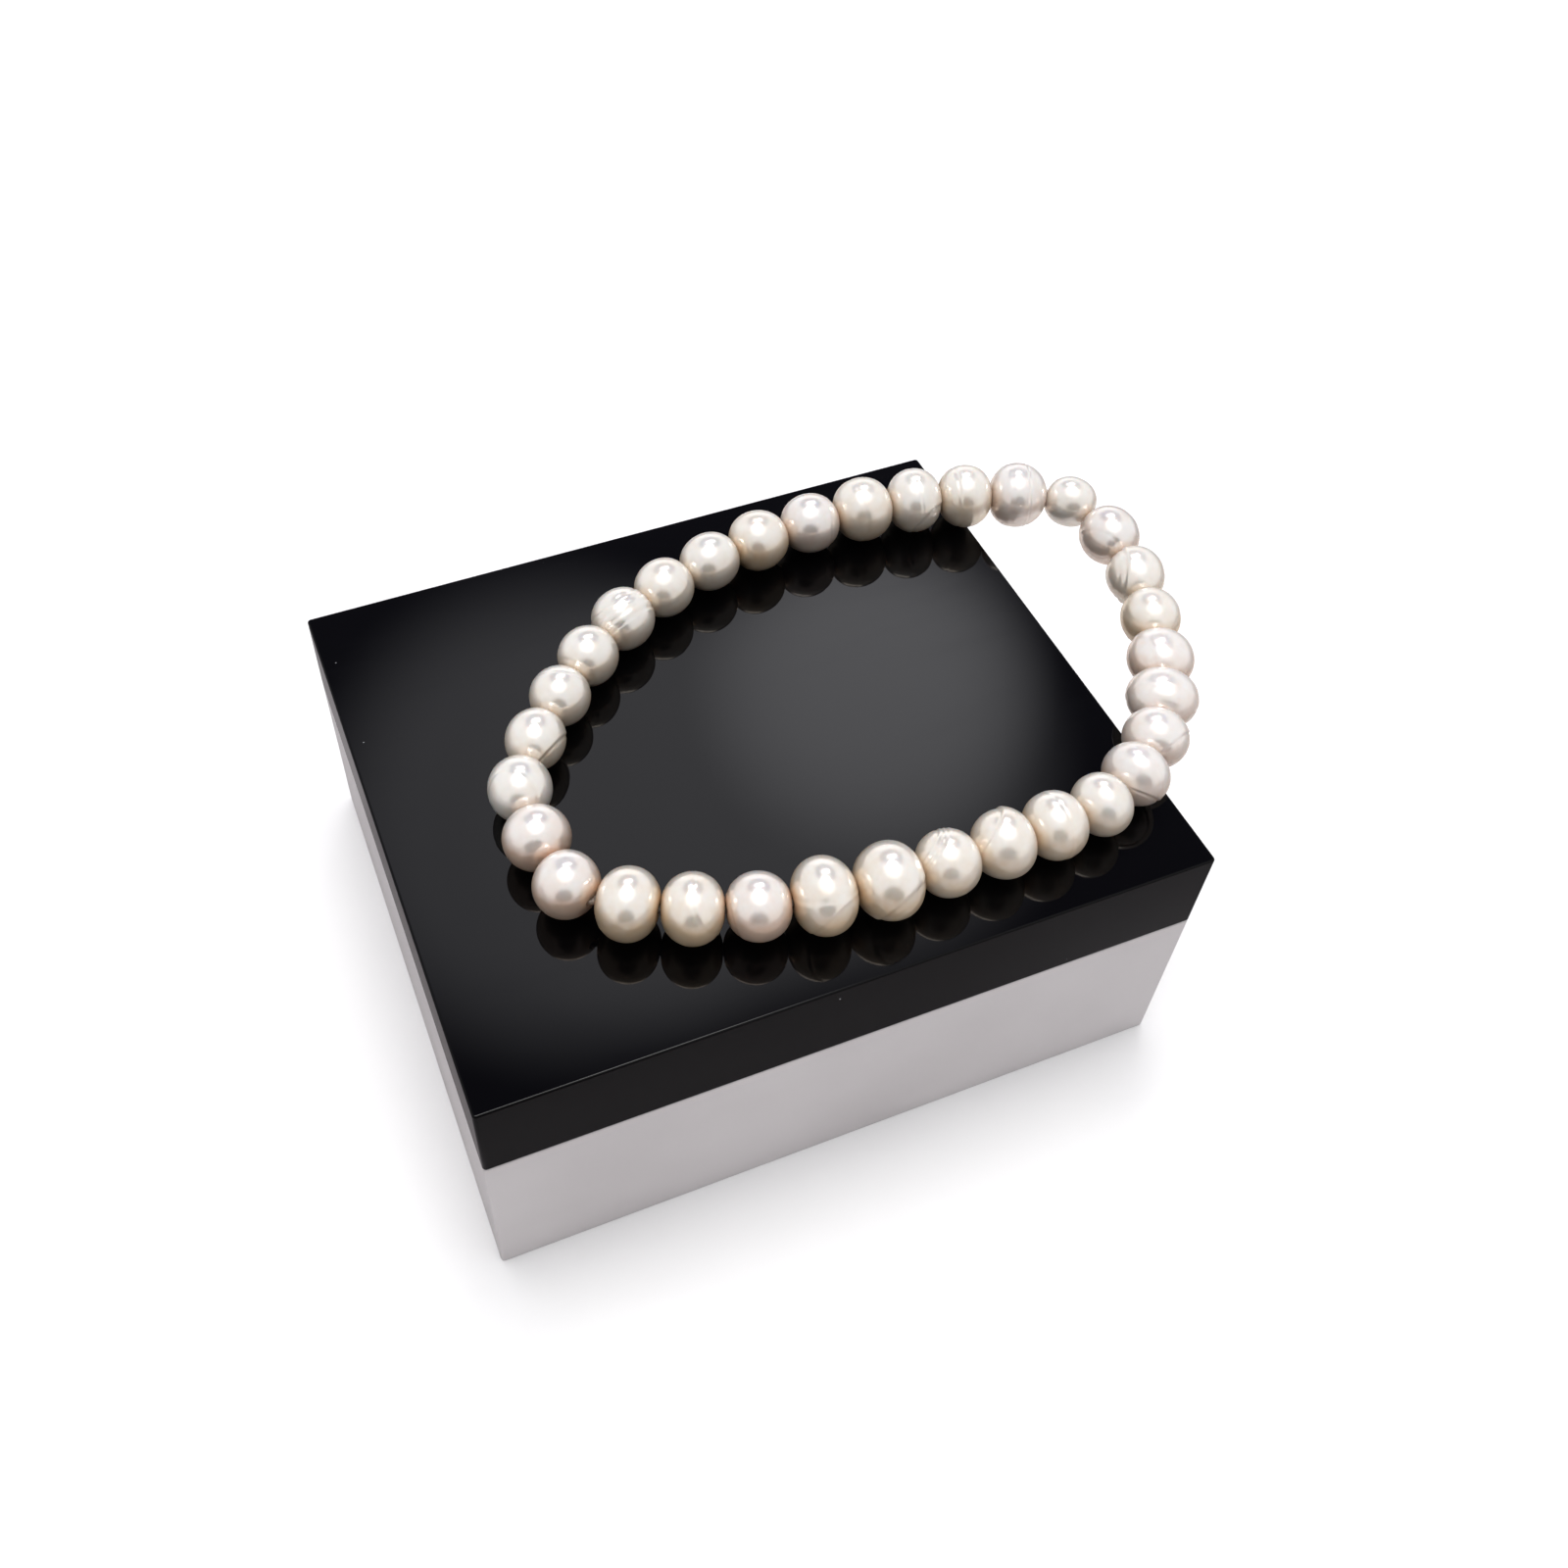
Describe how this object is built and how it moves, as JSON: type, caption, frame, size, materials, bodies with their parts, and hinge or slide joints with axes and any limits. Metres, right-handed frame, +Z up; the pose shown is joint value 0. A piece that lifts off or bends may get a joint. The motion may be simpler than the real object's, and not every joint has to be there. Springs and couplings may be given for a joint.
{
  "type": "pearl bracelet on a display block",
  "caption": "Elastic-strung bracelet of off-round white freshwater pearls, lying on a black-topped pale display block and reaching past its right edge.",
  "frame": {"origin": "centre of the display block's underside", "axes": "+X along the block's long side, towards the end that the bracelet reaches past; +Y away from the viewer; +Z up"},
  "size_m": [0.092, 0.0644, 0.0401],
  "materials": {
    "pearl_ivory": "glossy nacre",
    "pearl_cream": "glossy nacre",
    "pearl_blush": "glossy nacre",
    "elastic": "clear satin elastic",
    "black_acrylic": "polished",
    "pale_acrylic": "satin"
  },
  "bodies": {
    "root": {"block_base": "pale_acrylic", "block_top": "black_acrylic", "pearl_01": "pearl_ivory", "pearl_02": "pearl_ivory", "pearl_03": "pearl_ivory", "pearl_04": "pearl_ivory", "pearl_05": "pearl_ivory", "pearl_06": "pearl_cream", "pearl_07": "pearl_ivory", "pearl_08": "pearl_cream", "pearl_09": "pearl_blush", "pearl_10": "pearl_cream", "pearl_11": "pearl_ivory", "pearl_12": "pearl_cream", "pearl_13": "pearl_blush", "pearl_14": "pearl_ivory", "pearl_15": "pearl_blush", "pearl_16": "pearl_ivory", "pearl_17": "pearl_cream", "pearl_18": "pearl_blush", "pearl_19": "pearl_blush", "pearl_20": "pearl_blush", "pearl_21": "pearl_blush", "pearl_22": "pearl_ivory", "pearl_23": "pearl_cream", "pearl_24": "pearl_cream", "pearl_25": "pearl_cream", "pearl_26": "pearl_cream", "pearl_27": "pearl_cream", "pearl_28": "pearl_blush", "pearl_29": "pearl_cream", "pearl_30": "pearl_cream", "pearl_31": "pearl_blush", "pearl_32": "pearl_blush", "elastic_cord": "elastic"}
  },
  "joints": []
}
